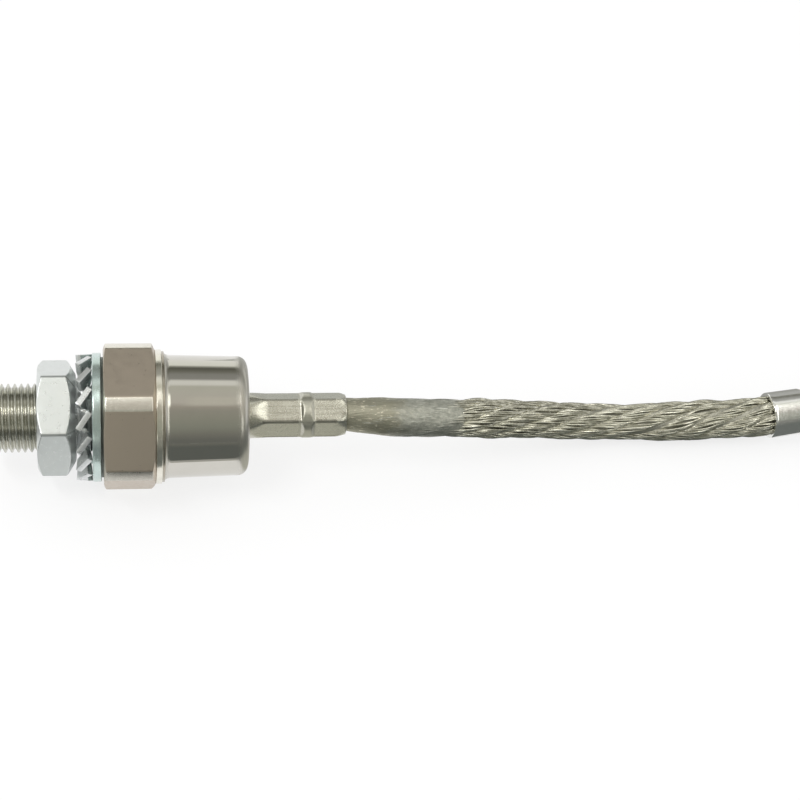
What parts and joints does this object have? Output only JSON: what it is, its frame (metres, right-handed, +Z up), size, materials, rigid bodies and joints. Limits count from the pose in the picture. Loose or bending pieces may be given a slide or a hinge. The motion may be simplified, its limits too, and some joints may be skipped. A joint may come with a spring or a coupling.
{
  "type": "stud rectifier diode",
  "caption": "Stud-mounted power rectifier diode: threaded stud with nut and washers, hexagonal base, metal can, crimped tube and rope lead with a terminal lug.",
  "frame": {"origin": "centre of the base's seating face, where the stud begins", "axes": "+X along the axis from the stud to the lead, +Z up; the part lies on one flat of its hexagon and on the lug's palm, at z = -16 mm"},
  "size_m": [0.2344, 0.0382, 0.032],
  "materials": {
    "nickel_plate": "satin nickel plate, warm grey",
    "can_nickel": "drawn steel, nickel plated, satin",
    "ring_steel": "turned and brushed steel",
    "tube_nickel": "nickel-plated tube with pressed crimps",
    "zinc_plate": "bright zinc plate",
    "washer_zinc": "zinc plate with a slight blue-green tint",
    "spring_steel": "grey spring steel",
    "tinned_rope": "tinned copper strands",
    "tinned_lug": "bright tinned copper",
    "sealing_glass": "dark sealing glass",
    "copper": "bare copper",
    "molybdenum": "ground molybdenum",
    "silicon": "polished silicon",
    "insulation": "white fluoropolymer",
    "mica": "mica sheet"
  },
  "bodies": {
    "root": {"stud_base": "nickel_plate", "weld_ring": "ring_steel", "cap": "can_nickel", "glass_seal": "sealing_glass", "crimp_tube": "tube_nickel", "lower_molybdenum_disc": "molybdenum", "silicon_wafer": "silicon", "upper_molybdenum_disc": "molybdenum", "contact_electrode": "copper", "inner_lead": "copper", "centring_sleeve": "insulation", "mica_washer": "mica", "stem_sleeve": "insulation", "pressure_washer": "spring_steel", "disc_spring_1": "spring_steel", "disc_spring_2": "spring_steel", "disc_spring_3": "spring_steel", "retaining_ring": "spring_steel", "spring_housing": "ring_steel", "lead_cable": "tinned_rope", "terminal_lug": "tinned_lug", "flat_washer": "washer_zinc", "lock_washer": "spring_steel", "hex_nut": "zinc_plate"}
  },
  "joints": []
}
